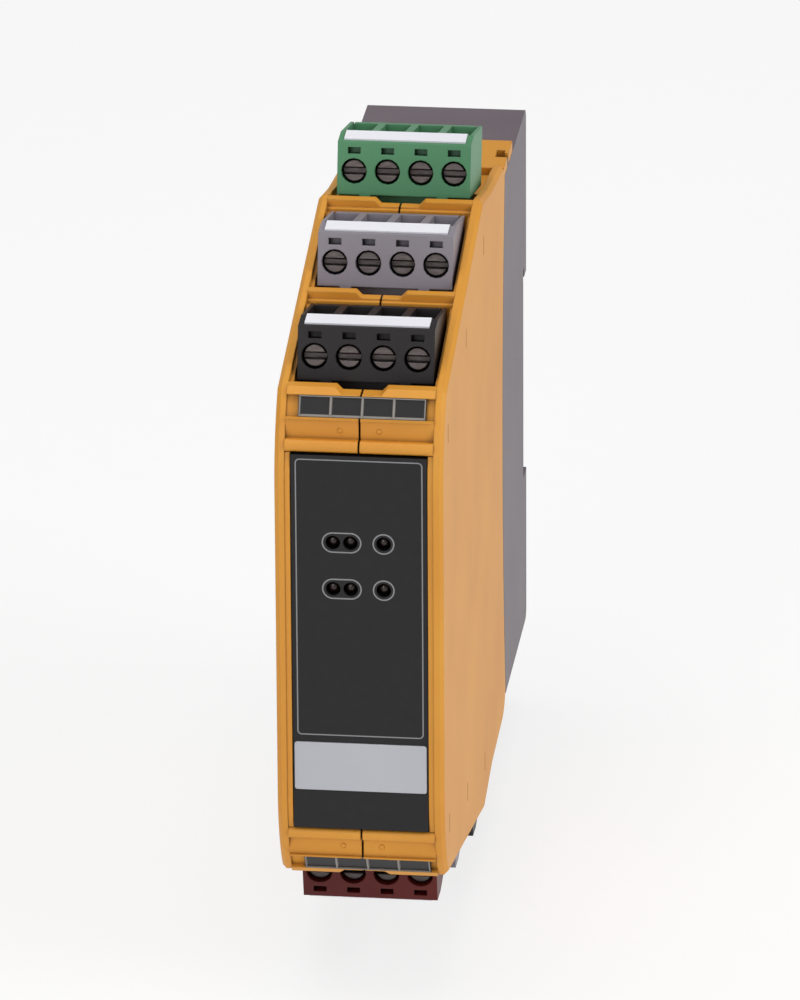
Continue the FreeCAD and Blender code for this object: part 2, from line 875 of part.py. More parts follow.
def make_rail_latch():
    """Slider that grips the lower edge of the rail and is pulled down to let go."""
    body = new_body("rail_latch")
    half, guide_half = latch_channel(ZERO)
    rail = size("rail_height") / 2
    thick = size("latch_thickness")
    face = size("latch_face")
    low = -size("parting_half") - size("latch_tab")
    high = size("latch_bite") - rail
    plate = pad(body, "plate", "XZ_Plane", [rectangle(-half, low, half, high)], length=thick,
                offset=-face, flipped=True)
    back = (face + thick).number

    def on_nose(edge):
        return all(abs(point.Y - back) < 1e-4 and abs(point.Z - high.number) < 1e-4
                   for point in edge.Vertexes)

    dress_edges(body, "Chamfer", "nose_bevel", plate, on_nose, size("latch_bevel"))
    guides = rectangle(-guide_half, -size("parting_half"), guide_half, -rail)
    pad(body, "guides", "XZ_Plane", [guides], length=size("guide_thickness"),
        offset=-size("guide_face"), flipped=True)
    window = rectangle(-size("latch_window_half"), size("latch_window_foot"),
                       size("latch_window_half"), size("latch_window_top"))
    slot_low = low + size("pry_slot_height")
    slot = rectangle(-size("pry_slot_half"), slot_low,
                     size("pry_slot_half"), slot_low + size("pry_slot_height"))
    pocket(body, "window_and_slot", "XZ_Plane", [window, slot], length=thick + size("wall"),
           offset=size("wall") / 2 - face)


def make_latch_spring():
    """Folded leaf spring between the peg of the housing and the window of the latch."""
    body = new_body("latch_spring")
    breadth = size("spring_breadth")
    reach = size("spring_half") - breadth
    legs = count("spring_legs")
    foot = size("spring_peg_top")
    pitch = (size("latch_window_top") - foot) / size("spring_legs")
    bends = [(reach if leg % 2 else -reach, foot + pitch * leg) for leg in range(legs + 1)]
    left = [(across - breadth, height) for across, height in bends]
    right = [(across + breadth, height) for across, height in bends]
    middle = size("latch_face") + size("latch_thickness") / 2
    pad(body, "leaf", "XZ_Plane", [left + right[::-1]], length=size("spring_width"),
        offset=-middle - size("spring_width") / 2)


# ---- front plate, label and marker plates ------------------------------------------------


def lamps():
    """Across and height of every lamp behind the front plate."""
    columns = ("lamp_pair_left", "lamp_pair_right", "lamp_single")
    rows = ("lamp_high_row", "lamp_low_row")
    return [(size(column), size(row)) for row in rows for column in columns]


def make_front_plate():
    """Dark front plate with a round hole for each lamp."""
    body = new_body("front_plate")
    half = PLATE_EDGE - size("plate_clearance")
    top = size("plate_top")
    face = FRONT - size("plate_recess")
    plate = rectangle(-half, below(top), half, top)
    pad(body, "plate", "XZ_Plane", [plate], length=size("plate_thickness"), offset=face,
        flipped=True)
    radius = size("led_diameter") / 2 + size("led_clearance")
    holes = [many_sided(place, radius) for place in lamps()]
    pocket(body, "lamp_holes", "XZ_Plane", holes, length=size("plate_thickness"), offset=face)


def make_blank_label():
    """Blank label stuck to the lower part of the front plate."""
    body = new_body("blank_label")
    half = PLATE_EDGE - size("plate_clearance") - size("label_inset")
    label = rectangle(-half, size("label_foot"), half, size("label_top"))
    pad(body, "sticker", "XZ_Plane", [label], length=size("label_thickness"),
        offset=FRONT - size("plate_recess"))


def make_marker_plate(side):
    """White marker plate with a row of sunk cells, tilted back above or below the plate."""
    up = SIDES[side]
    body = new_body(f"{side}_marker_plate")
    half = PLATE_EDGE - size("plate_clearance") - size("marker_inset")
    tall = size("marker_height")
    deep = size("marker_thickness")
    outline = rectangle(-half, ZERO, half, tall)
    pad(body, "plate", "XZ_Plane", [outline], length=deep, flipped=True)
    border = size("marker_border")
    cells = count("marker_cells")
    pitch = (half * 2 - border) / cells
    frames = [rectangle(border - half + pitch * cell, border,
                        pitch * (cell + 1) - half, tall - border) for cell in range(cells)]
    pocket(body, "cells", "XZ_Plane", frames, length=size("marker_cell_depth"))
    tilt = Rotation(Vector(1, 0, 0), -size("marker_tilt").number)
    if up < 0:
        tilt = Rotation(Vector(0, 1, 0), 180).multiply(tilt)
    body.Placement = Placement(Vector(0, 0, 0), tilt)
    foot = size("bead_place") + size("bead_half") + size("band_height") + size("ledge_height")
    body.setExpression("Placement.Base.x", size(f"{side}_marker_shift").text)
    body.setExpression("Placement.Base.y", (size("marker_face") - FRONT).text)
    body.setExpression("Placement.Base.z", (foot if up > 0 else below(foot)).text)


# ---- plugs and headers, each drawn in the frame of its own plug --------------------------


def pole(place):
    """Middle of a pole across the plug."""
    return FIRST_POLE + POLE_PITCH * place


def add_plug_holes(body):
    """Screw hole, test slot, wire funnel, throat and pin socket of the first pole."""
    middle = FIRST_POLE
    half_test = size("test_width") / 2
    low_test = size("screw_height") + size("test_rise") - size("test_height") / 2
    screw = many_sided((middle, size("screw_height")), size("screw_hole") / 2)
    test = rectangle(middle - half_test, low_test, middle + half_test,
                     low_test + size("test_height"))
    funnel_half = (POLE_PITCH - size("funnel_rib")) / 2
    funnel = rectangle(middle - funnel_half, size("funnel_front"),
                       middle + funnel_half, size("funnel_back"))
    throat_half = funnel_half - size("throat_inset")
    throat = rectangle(middle - throat_half, size("throat_front"),
                       middle + throat_half, size("throat_back"))
    pin = (size("mating_front") + size("mating_back")) / 2
    socket_half = size("socket_size") / 2
    socket = rectangle(middle - socket_half, pin - socket_half,
                       middle + socket_half, pin + socket_half)
    top = size("plug_height")
    return [
        pocket(body, "screw_hole", "XZ_Plane", [screw],
               length=size("throat_front") + size("cage_wall")),
        pocket(body, "test_slot", "XZ_Plane", [test], length=size("test_depth")),
        pocket(body, "funnel", "XY_Plane", [funnel], length=size("funnel_depth"), offset=top),
        pocket(body, "throat", "XY_Plane", [throat], length=top - size("throat_foot"),
               offset=top),
        pocket(body, "socket", "XY_Plane", [socket], length=size("socket_depth"),
               offset=mating_foot(), flipped=True),
    ]


def mating_foot():
    """Height at which the plug stands on the floor of its header."""
    return size("header_foot") + size("header_floor")


def make_plug(name):
    """Plug housing: terminal block above, mating block and two feet below."""
    body = new_body(name)
    back = size("plug_depth")
    top = size("plug_height")
    block = [(ZERO, ZERO), (back, ZERO), (back, top), (size("plug_bevel"), top),
             (ZERO, size("plug_front"))]
    pad(body, "block", "YZ_Plane", [block], length=PLUG_HALF * 2, centred=True)
    mating = rectangle(size("mating_front"), mating_foot(), size("mating_back"), ZERO)
    pad(body, "mating_block", "YZ_Plane", [mating], length=MATING_HALF * 2, centred=True)
    groove = size("rim_groove")
    for start in (PLUG_HALF - size("rim_width") - groove, size("rim_width") - PLUG_HALF):
        rim = rectangle(size("plug_bevel"), top - groove, back + groove, top + groove)
        pocket(body, "rim_groove", "YZ_Plane", [rim], length=groove, offset=start,
               flipped=True)
    half = size("foot_width") / 2
    feet = [rectangle(middle - half, -size("foot_drop"), middle + half, ZERO)
            for middle in (size("foot_place"), -size("foot_place"))]
    pad(body, "feet", "XZ_Plane", feet, length=size("foot_depth"), flipped=True)
    repeat_poles(body, "poles", add_plug_holes(body))
    return body


def make_marker_strip(name):
    """White strip on the bevelled edge of a plug."""
    body = new_body(name)
    run = size("plug_bevel")
    rise = size("plug_height") - size("plug_front")
    length = root(run * run + rise * rise)
    along = (run / length, rise / length)
    start = size("strip_front_margin")
    end = length - size("strip_rear_margin")
    thick = size("strip_thickness")

    def corner(reach, lift):
        return (along[0] * reach - along[1] * lift,
                size("plug_front") + along[1] * reach + along[0] * lift)

    outline = [corner(start, ZERO), corner(end, ZERO), corner(end, thick), corner(start, thick)]
    pad(body, "strip", "YZ_Plane", [outline], length=(PLUG_HALF - size("strip_inset")) * 2,
        centred=True)
    return body


def make_screws(name):
    """The terminal screws of one plug, each with a slotted head."""
    screws = []
    for place in POLES:
        middle = (pole(place), size("screw_recess"), size("screw_height"))
        head = prism(f"{name}_head_{place}", "round_sides", middle, size("screw_head") / 2,
                     size("screw_head_length"), REARWARD)
        shank = prism(f"{name}_shank_{place}", "thread_sides", middle,
                      size("screw_shank") / 2, size("screw_reach"), REARWARD)
        half = size("screw_head") / 2
        slot = box(f"{name}_slot_{place}",
                   (middle[0] - half, ZERO, middle[2] - size("slot_width") / 2),
                   (middle[0] + half, middle[1] + size("slot_depth"),
                    middle[2] + size("slot_width") / 2))
        whole = DOC.addObject("Part::Fuse", f"{name}_whole_{place}")
        whole.Base = head
        whole.Tool = shank
        screws.append(cut(f"{name}_{place}", whole, slot))
    return group(name, screws)


def make_cages(name):
    """The clamping cages of one plug, open from above, each threaded on its screw."""
    gap = size("cage_clearance")
    wall = size("cage_wall")
    half = (POLE_PITCH - size("funnel_rib")) / 2 - size("throat_inset") - gap
    front = size("throat_front") + gap
    back = size("throat_back") - gap
    foot = size("throat_foot")
    top = foot + size("cage_height")
    cages = []
    for place in POLES:
        middle = pole(place)
        solid = box(f"{name}_block_{place}", (middle - half, front, foot),
                    (middle + half, back, top))
        mouth = box(f"{name}_mouth_{place}", (middle - half + wall, front + wall, foot),
                    (middle + half - wall, back - wall, top))
        thread = prism(f"{name}_thread_{place}", "thread_sides",
                       (middle, front, size("screw_height")), size("screw_shank") / 2, wall,
                       REARWARD)
        hollow = cut(f"{name}_hollow_{place}", solid, mouth)
        cages.append(cut(f"{name}_{place}", hollow, thread))
    return group(name, cages)


def make_header(name):
    """Pin header: an open shroud with a floor that has a square hole for each pin."""
    body = new_body(name)
    half = LINED
    wall = size("header_wall")
    top = size("header_top")
    foot = size("header_foot")
    block = rectangle(HEADER_FRONT, foot, HEADER_BACK, top)
    pad(body, "shroud", "YZ_Plane", [block], length=half * 2, centred=True)
    inside = rectangle(wall - half, HEADER_FRONT + wall, half - wall, HEADER_BACK - wall)
    pocket(body, "opening", "XY_Plane", [inside], length=top - mating_foot(), offset=top)
    square = pin_square(FIRST_POLE)
    holes = pocket(body, "pin_hole", "XY_Plane", [square], length=size("header_floor"),
                   offset=mating_foot())
    repeat_poles(body, "pin_holes", [holes])
    return body


def pin_square(middle):
    """Section of a header pin."""
    half = size("pin_size") / 2
    along = (size("mating_front") + size("mating_back")) / 2
    return rectangle(middle - half, along - half, middle + half, along + half)


def make_pins(name):
    """The square pins of one header."""
    pins = []
    for place in POLES:
        low, _, high, _ = pin_square(pole(place))
        pins.append(box(f"{name}_{place}", low + (size("pin_tail"),),
                        high + (size("pin_head"),)))
    return group(name, pins)


# ---- boards and what they carry ----------------------------------------------------------


def board_outline():
    """Side board with an edge that follows the floors of the tilted headers."""
    upper = []
    for tier in TIERS:
        for back in (HEADER_FRONT, HEADER_BACK):
            upper.append(at(*plug_point(tier, back, size("header_foot"))))
    rear_height = upper[-1][1]
    upper.append(at(CAVITY_BACK, rear_height))
    upper.insert(0, at(BOARD_FRONT, size("board_front_half")))
    lower = [(depth, below(height)) for depth, height in upper]
    return lower + upper[::-1]


def make_side_board(name, hand):
    body = new_body(name)
    pad(body, "board", "YZ_Plane", [board_outline()],
        **span(hand, BOARD_FACE, BOARD_BACK))


def make_front_board():
    """Small upright board that carries the lamps."""
    body = new_body("front_board")
    half = BOARD_BACK - size("front_board_inset")
    outline = rectangle(-half, size("front_board_low"), half, size("front_board_high"))
    pad(body, "board", "XZ_Plane", [outline], length=size("board_thickness"),
        offset=FRONT - size("front_board_depth"), flipped=True)


def make_lamps():
    """Round lamps with a stepped front, standing on the front board."""
    radius = size("led_diameter") / 2
    items = []
    for place, (across, height) in enumerate(lamps()):
        tip = (across, size("led_depth") - FRONT, height)
        shoulder = (across, tip[1] + size("led_step"), height)
        lens = prism(f"led_lens_{place}", "round_sides", tip, radius - size("led_step") / 2,
                     size("led_step"), REARWARD)
        barrel = prism(f"led_barrel_{place}", "round_sides", shoulder, radius,
                       size("front_board_depth") - size("led_depth") - size("led_step"),
                       REARWARD)
        lamp = DOC.addObject("Part::Fuse", f"led_{place}")
        lamp.Base = barrel
        lamp.Tool = lens
        items.append(lamp)
    group("leds", items)


def make_relay(name, up):
    """Switching relay with guided contacts, a plain block on the left board."""
    body = new_body(name)
    front = at(size("relay_depth"), ZERO)[0]
    low = size("relay_gap") / 2
    block = rectangle(front, low, front + size("relay_length"), low + size("relay_height"))
    pad(body, "case", "YZ_Plane", [turned(block, up)], length=size("relay_thickness"),
        offset=-BOARD_FACE)


def make_capacitors():
    """Two round capacitors that stand on the left board."""
    cans = []
    for up in SIDES.values():
        middle = (-BOARD_FACE, size("capacitor_depth") - FRONT, size("capacitor_place") * up)
        cans.append(prism(f"capacitor_{len(cans)}", "round_sides", middle,
                          size("capacitor_diameter") / 2, size("capacitor_length"), SIDEWAYS))
    group("capacitors", cans)


def make_chips():
    """Two controller chips on the right board."""
    front = size("chip_depth") - FRONT
    half = size("chip_size") / 2
    chips = []
    for up in SIDES.values():
        middle = size("chip_place") * up
        chips.append(box(f"chip_{len(chips)}",
                         (BOARD_FACE - size("chip_thickness"), front - half, middle - half),
                         (BOARD_FACE, front + half, middle + half)))
    group("controller_chips", chips)


# ---- the whole module --------------------------------------------------------------------


def make_tier(side, tier):
    """Header, pins, plug, cages, screws and marker strip of one terminal."""
    stem = f"{side}_{TIER_NAMES[tier]}"
    pieces = [
        make_header(stem + "_header"),
        make_pins(stem + "_pins"),
        make_plug(stem + "_plug"),
        make_cages(stem + "_cages"),
        make_screws(stem + "_screws"),
        make_marker_strip(stem + "_marker"),
    ]
    for piece in pieces:
        seat_on_tier(piece, tier, SIDES[side])


def check_and_write():
    """Stop on any broken feature or shape, then write one STEP file per piece."""
    DOC.recompute()
    for item in DOC.Objects:
        if "Invalid" in item.State or "Error" in item.State:
            raise RuntimeError(f"{item.Label} did not compute")
    os.makedirs("parts", exist_ok=True)
    for piece in PARTS:
        shape = piece.Shape
        if shape.isNull() or not shape.isValid():
            raise RuntimeError(f"{piece.Label} has no valid shape")
        shape.exportStep(f"parts/{piece.Label}.step")
        print(piece.Label, len(shape.Solids), round(shape.Volume, 1))


make_shell("right_shell", 1)
make_shell("left_shell", -1)
make_rear_housing()
make_rail_latch()
make_latch_spring()
make_front_plate()
make_blank_label()
for side_name in SIDES:
    make_marker_plate(side_name)
    for tier_number in TIERS:
        make_tier(side_name, tier_number)
make_side_board("right_board", 1)
make_side_board("left_board", -1)
make_front_board()
make_lamps()
make_relay("upper_relay", 1)
make_relay("lower_relay", -1)
make_capacitors()
make_chips()
check_and_write()
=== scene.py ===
import json
import math

import bmesh
import bpy
from mathutils import Matrix, Vector


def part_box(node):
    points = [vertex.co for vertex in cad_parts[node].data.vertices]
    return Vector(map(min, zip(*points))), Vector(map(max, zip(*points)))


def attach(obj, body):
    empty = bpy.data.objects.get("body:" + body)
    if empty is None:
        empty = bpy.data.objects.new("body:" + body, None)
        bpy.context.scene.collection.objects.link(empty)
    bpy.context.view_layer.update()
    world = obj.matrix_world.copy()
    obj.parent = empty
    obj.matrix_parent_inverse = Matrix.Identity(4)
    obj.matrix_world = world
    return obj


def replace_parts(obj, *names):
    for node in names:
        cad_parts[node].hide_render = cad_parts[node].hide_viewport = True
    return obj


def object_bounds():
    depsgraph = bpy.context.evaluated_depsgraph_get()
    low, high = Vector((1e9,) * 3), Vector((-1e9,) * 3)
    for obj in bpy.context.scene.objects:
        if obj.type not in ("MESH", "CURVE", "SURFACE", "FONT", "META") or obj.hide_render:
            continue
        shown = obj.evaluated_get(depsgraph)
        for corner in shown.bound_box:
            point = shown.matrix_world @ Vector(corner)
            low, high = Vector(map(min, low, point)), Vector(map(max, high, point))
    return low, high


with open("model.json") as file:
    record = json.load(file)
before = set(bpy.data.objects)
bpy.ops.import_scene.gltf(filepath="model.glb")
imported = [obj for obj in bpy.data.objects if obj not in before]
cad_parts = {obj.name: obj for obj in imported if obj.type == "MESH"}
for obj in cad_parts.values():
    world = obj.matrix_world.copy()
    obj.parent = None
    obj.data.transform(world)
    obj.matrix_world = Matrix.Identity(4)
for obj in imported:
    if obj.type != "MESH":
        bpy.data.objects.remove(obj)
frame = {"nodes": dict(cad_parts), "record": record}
cad_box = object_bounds()
nodes = frame["nodes"]
MM = 0.001

# Half shells. The real ones are two thin mirrored mouldings of signal-yellow polyamide that
# meet along the middle of the module. The mould leaves a fine satin grain, faint flow marks
# and small radii on every edge that catch a narrow light line.


def linear(colour):
    """Linear colour of an sRGB hex value."""
    channels = [int(colour[place:place + 2], 16) / 255 for place in (1, 3, 5)]
    return [c / 12.92 if c <= 0.04045 else ((c + 0.055) / 1.055) ** 2.4 for c in channels] + [1]


def add(tree, kind, inputs=(), **settings):
    """Add a shader node, set its options, and set or link its inputs."""
    node = tree.nodes.new("ShaderNode" + kind)
    for name, value in settings.items():
        setattr(node, name, value)
    for socket, source in dict(inputs).items():
        if isinstance(source, bpy.types.NodeSocket):
            tree.links.new(source, node.inputs[socket])
        else:
            node.inputs[socket].default_value = source
    return node


def noise(tree, place, size, detail):
    """Noise whose blotches are about this size."""
    return add(tree, "TexNoise", {"Vector": place, "Scale": 1 / size,
                                  "Detail": detail}).outputs["Fac"]


def blend(tree, share, first, second):
    """The colour that lies this share of the way from the first to the second."""
    return add(tree, "Mix", {"Factor": share, "A": first, "B": second},
               data_type="RGBA").outputs["Result"]


def spread(tree, value, low, high, start=0.0, end=1.0):
    """Stretch a value from start..end to low..high, and hold it beyond the ends."""
    return add(tree, "MapRange", {"Value": value, "From Min": start, "From Max": end,
                                  "To Min": low, "To Max": high}).outputs["Result"]


def calculate(tree, operation, *values):
    """One step of arithmetic on numbers or sockets."""
    return add(tree, "Math", dict(enumerate(values)), operation=operation).outputs[0]


def new_material(name):
    """An empty node material, its tree and the object's own coordinates."""
    material = bpy.data.materials.new(name)
    material.use_nodes = True
    tree = material.node_tree
    tree.nodes.clear()
    return material, tree, add(tree, "TexCoord").outputs["Object"]


# Painted shade darkens slits and corners within this reach. A point that less light than
# GAP_CLOSED reaches keeps the share GAP_COLOUR of its colour, one past GAP_OPEN all of it.
GAP_REACH = 1.2 * MM
GAP_CLOSED = 0.15
GAP_OPEN = 0.75
GAP_COLOUR = 0.25
GRAIN_DEPTH = 0.05 * MM
BLACK = [0, 0, 0, 1]


def finish_surface(tree, colour, roughness, height, strength, edge, metallic=0.0, **extra):
    """Principled surface: grain from a height, painted shade in slits, rounded edges."""
    painted_shade = add(tree, "AmbientOcclusion", {"Distance": GAP_REACH}, samples=6)
    light = spread(tree, painted_shade.outputs["AO"], GAP_COLOUR, 1.0, start=GAP_CLOSED, end=GAP_OPEN)
    # Painted shade: the colour fades towards black where ambient occlusion finds the surface
    # closed in.
    colour = blend(tree, light, BLACK, colour)
    rounded = add(tree, "Bevel", {"Radius": edge}, samples=4)
    bump = add(tree, "Bump", {"Strength": strength, "Distance": GRAIN_DEPTH, "Height": height,
                              "Normal": rounded.outputs["Normal"]})
    values = {"Base Color": colour, "Roughness": roughness, "Metallic": metallic,
              "Normal": bump.outputs["Normal"]}
    values.update(extra)
    shader = add(tree, "BsdfPrincipled", values)
    add(tree, "OutputMaterial", {"Surface": shader.outputs["BSDF"]})


# Flow marks are wide and soft. The roughness wanders a little to both sides of its middle.
FLOW_SIZE = 18 * MM
FLOW_LOW = 0.3
FLOW_HIGH = 0.7
GRIT_STRENGTH = 0.25
SMOOTHER = 0.06
ROUGHER = 0.08


def moulded_plastic(name, light, dark, grain, roughness, edge, **extra):
    """Injection-moulded plastic: satin spark-eroded grain and faint flow marks."""
    material, tree, place = new_material(name)
    grit = noise(tree, place, grain, detail=3.0)
    flow = noise(tree, place, FLOW_SIZE, detail=2.0)
    tint = spread(tree, flow, 0.0, 1.0, start=FLOW_LOW, end=FLOW_HIGH)
    colour = blend(tree, tint, linear(light), linear(dark))
    satin = spread(tree, grit, roughness - SMOOTHER, roughness + ROUGHER)
    finish_surface(tree, colour, satin, grit, GRIT_STRENGTH, edge, **extra)
    return material


def dress(node, material):
    """Give every material slot of a CAD node this finish."""
    for slot in nodes[node].material_slots:
        slot.material = material


def new_piece(name, mesh, material, body):
    """Turn a finished bmesh into a piece that rides on a CAD body."""
    data = bpy.data.meshes.new(name)
    mesh.to_mesh(data)
    mesh.free()
    data.materials.append(material)
    piece = bpy.data.objects.new(name, data)
    bpy.context.scene.collection.objects.link(piece)
    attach(piece, body)
    return piece


yellow_polyamide = moulded_plastic("yellow_polyamide", "#DE9A30", "#D68F29",
                                   grain=0.5 * MM, roughness=0.5, edge=0.3 * MM)
for side in ("left", "right"):
    dress(f"{side}_shell", yellow_polyamide)

# Each half has a small round witness mark of an ejector pin on the bands above and below
# the front plate.
BAND_DEPTH = 2.2 * MM
MARK_RADIUS = 0.45 * MM
MARK_FLATNESS = 0.3
MARK_PLACE = 2.9 * MM
MARK_HEIGHTS = (33.9 * MM, -32.6 * MM)
marks = bmesh.new()
for height in MARK_HEIGHTS:
    for across in (-MARK_PLACE, MARK_PLACE):
        ring = bmesh.ops.create_uvsphere(marks, u_segments=20, v_segments=10, radius=MARK_RADIUS)
        bmesh.ops.scale(marks, verts=ring["verts"], vec=(1, MARK_FLATNESS, 1))
        bmesh.ops.translate(marks, verts=ring["verts"],
                            vec=(across, cad_box[0][1] + BAND_DEPTH, height))
for face in marks.faces:
    face.smooth = True
new_piece("ejector_marks", marks, yellow_polyamide, "housing")

# Rear housing, latch and its spring. The housing is one moulding of warm grey polyamide with
# the satin grain of the shells; the latch is a darker moulding of the same plastic, and its
# spring is a bright folded leaf of rolled spring steel.

grey_polyamide = moulded_plastic("grey_polyamide", "#6F656B", "#675D64",
                                 grain=0.5 * MM, roughness=0.5, edge=0.35 * MM)
dress("rear_housing", grey_polyamide)
latch_polyamide = moulded_plastic("latch_polyamide", "#5D545A", "#564E53",
                                  grain=0.5 * MM, roughness=0.5, edge=0.2 * MM)
dress("rail_latch", latch_polyamide)

METAL_SMOOTHER = 0.08
METAL_ROUGHER = 0.1
METAL_STRENGTH = 0.2
METAL_EDGE = 0.05 * MM


def drawn_metal(name, light, dark, line, roughness, stretch):
    """Drawn or rolled metal with fine marks along one direction."""
    material, tree, place = new_material(name)
    along = add(tree, "Mapping", {"Vector": place, "Scale": stretch}).outputs["Vector"]
    scratches = noise(tree, along, line, detail=4.0)
    colour = blend(tree, scratches, linear(light), linear(dark))
    satin = spread(tree, scratches, roughness - METAL_SMOOTHER, roughness + METAL_ROUGHER)
    finish_surface(tree, colour, satin, scratches, METAL_STRENGTH, METAL_EDGE, metallic=1.0)
    return material


spring_steel = drawn_metal("spring_steel", "#C9C9CC", "#A6A6AA", line=0.3 * MM,
                           roughness=0.3, stretch=(1, 1, 0.2))
dress("latch_spring", spring_steel)

# Lamps. Six unlit light-emitting diodes of dark tinted resin, each a round barrel with a
# domed end, stand on the front board just behind the holes of the plate.

LAMP_RADIUS = 0.95 * MM
LAMP_PAIR_PITCH = 2.6 * MM
LAMP_SEGMENTS = 24
lamp_low, lamp_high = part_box("leds")
lamp_columns = (lamp_low[0] + LAMP_RADIUS, lamp_low[0] + LAMP_RADIUS + LAMP_PAIR_PITCH,
                lamp_high[0] - LAMP_RADIUS)
lamp_rows = (lamp_low[2] + LAMP_RADIUS, lamp_high[2] - LAMP_RADIUS)
lamp_mesh = bmesh.new()
for across in lamp_columns:
    for height in lamp_rows:
        dome = bmesh.ops.create_uvsphere(lamp_mesh, u_segments=LAMP_SEGMENTS,
                                         v_segments=LAMP_SEGMENTS // 2, radius=LAMP_RADIUS)
        dome_end = lamp_low[1] + LAMP_RADIUS
        bmesh.ops.translate(lamp_mesh, verts=dome["verts"], vec=(across, dome_end, height))
        barrel = bmesh.ops.create_cone(
            lamp_mesh, cap_ends=True, segments=LAMP_SEGMENTS, radius1=LAMP_RADIUS,
            radius2=LAMP_RADIUS, depth=lamp_high[1] - dome_end,
            matrix=Matrix.Rotation(math.pi / 2, 4, "X"))
        bmesh.ops.translate(lamp_mesh, verts=barrel["verts"],
                            vec=(across, (dome_end + lamp_high[1]) / 2, height))
for face in lamp_mesh.faces:
    face.smooth = len(face.verts) <= 4
lamp_resin = moulded_plastic("lamp_resin", "#2C1C18", "#221513",
                             grain=0.8 * MM, roughness=0.25, edge=0.05 * MM)
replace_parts(new_piece("lamps", lamp_mesh, lamp_resin, "housing"), "leds")

# Front plate. A dark, glossy snap-in plate with a printed light-grey border line and a thin
# printed frame round each lamp window. The round windows hold one lamp, the long ones a pair.

PLATE_LINE = 0.18 * MM
FRAME_LINE = 0.2 * MM
LINE_SOFTNESS = 0.15
SHEET_STRENGTH = 0.1
BORDER_SIDE_MARGIN = 0.65 * MM
BORDER_TOP_MARGIN = 0.6 * MM
BORDER_ABOVE_LABEL = 1.1 * MM
BORDER_CORNER = 0.7 * MM
WINDOW_HALF = 1.62 * MM
PAIR_HALF_LENGTH = 2.95 * MM
WINDOW_CORNER = 1.61 * MM


def rounded_frame(tree, across, height, middle, half_size, radius, line):
    """1 on a thin rounded rectangle drawn on the plate, and 0 elsewhere."""
    offsets = []
    for value, centre, half in zip((across, height), middle, half_size):
        moved = calculate(tree, "SUBTRACT", value, centre)
        size = calculate(tree, "ABSOLUTE", moved)
        offsets.append(calculate(tree, "SUBTRACT", size, half - radius))
    outer = [calculate(tree, "MAXIMUM", value, 0.0) for value in offsets]
    corner = add(tree, "CombineXYZ", {"X": outer[0], "Y": outer[1]}).outputs["Vector"]
    reach = add(tree, "VectorMath", {0: corner}, operation="LENGTH").outputs["Value"]
    deepest = calculate(tree, "MAXIMUM", *offsets)
    inner = calculate(tree, "MINIMUM", deepest, 0.0)
    distance = calculate(tree, "ADD", reach, inner)
    shifted = calculate(tree, "SUBTRACT", distance, radius - line / 2)
    width = calculate(tree, "ABSOLUTE", shifted)
    return spread(tree, width, 1.0, 0.0, start=line * (0.5 - LINE_SOFTNESS),
                  end=line * (0.5 + LINE_SOFTNESS))


def strongest(tree, masks):
    """The largest of several masks."""
    result = masks[0]
    for mask in masks[1:]:
        result = calculate(tree, "MAXIMUM", result, mask)
    return result


def lined_sheet(tree, masks, ground, line, mottle, gloss, edge, **extra):
    """Smooth dark sheet with lines of another colour where the masks are 1."""
    ground_colour = blend(tree, mottle, linear(ground[0]), linear(ground[1]))
    colour = blend(tree, strongest(tree, masks), ground_colour, linear(line))
    shine = spread(tree, mottle, *gloss)
    finish_surface(tree, colour, shine, mottle, SHEET_STRENGTH, edge, **extra)


def glossy_plate():
    """Back-printed gloss sheet: near-black, with thin printed frames."""
    material, tree, place = new_material("black_gloss_plate")
    axes = add(tree, "SeparateXYZ", {"Vector": place}).outputs
    plate_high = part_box("front_plate")[1]
    border_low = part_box("blank_label")[1][2] + BORDER_ABOVE_LABEL
    border_high = plate_high[2] - BORDER_TOP_MARGIN
    border = ((0.0, (border_high + border_low) / 2),
              (plate_high[0] - BORDER_SIDE_MARGIN, (border_high - border_low) / 2))
    masks = [rounded_frame(tree, axes["X"], axes["Z"], *border, BORDER_CORNER, PLATE_LINE)]
    windows = ((lamp_columns[-1], WINDOW_HALF),
               (lamp_columns[0] + LAMP_PAIR_PITCH / 2, PAIR_HALF_LENGTH))
    for row in lamp_rows:
        for column, half_length in windows:
            masks.append(rounded_frame(tree, axes["X"], axes["Z"], (column, row),
                                       (half_length, WINDOW_HALF), WINDOW_CORNER, FRAME_LINE))
    mottle = noise(tree, place, size=2 * MM, detail=3.0)
    lined_sheet(tree, masks, ("#1F1D1E", "#262425"), "#8E8F92", mottle, gloss=(0.28, 0.4),
                edge=0.1 * MM, **{"Specular IOR Level": 0.25})
    return material


dress("front_plate", glossy_plate())

# Label and marker plates. The label is a blank satin film. The marker plates are black with
# pale raised borders round four empty cells; the strips on the plugs are white card.

LABEL_CORNER = 0.4 * MM
LABEL_EDGE = 0.12 * MM
label_film = moulded_plastic("label_film", "#BBBCC3", "#B5B6BD",
                             grain=0.3 * MM, roughness=0.42, edge=LABEL_EDGE)
label_low, label_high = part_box("blank_label")
label_mesh = bmesh.new()
bmesh.ops.create_cube(label_mesh, size=1)
bmesh.ops.scale(label_mesh, verts=label_mesh.verts, vec=label_high - label_low)
bmesh.ops.translate(label_mesh, verts=label_mesh.verts, vec=(label_low + label_high) / 2)
upright = [edge for edge in label_mesh.edges
           if abs(edge.verts[0].co.y - edge.verts[1].co.y) > LABEL_EDGE]
bmesh.ops.bevel(label_mesh, geom=upright, offset=LABEL_CORNER, segments=4, profile=0.5,
                affect="EDGES", material=-1)
front_rim = [edge for edge in label_mesh.edges
             if all(vert.co.y < label_low[1] + LABEL_EDGE / 2 for vert in edge.verts)]
bmesh.ops.bevel(label_mesh, geom=front_rim, offset=LABEL_EDGE, segments=2, profile=0.5,
                affect="EDGES", material=-1)
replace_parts(new_piece("label_film", label_mesh, label_film, "housing"),
            "blank_label")
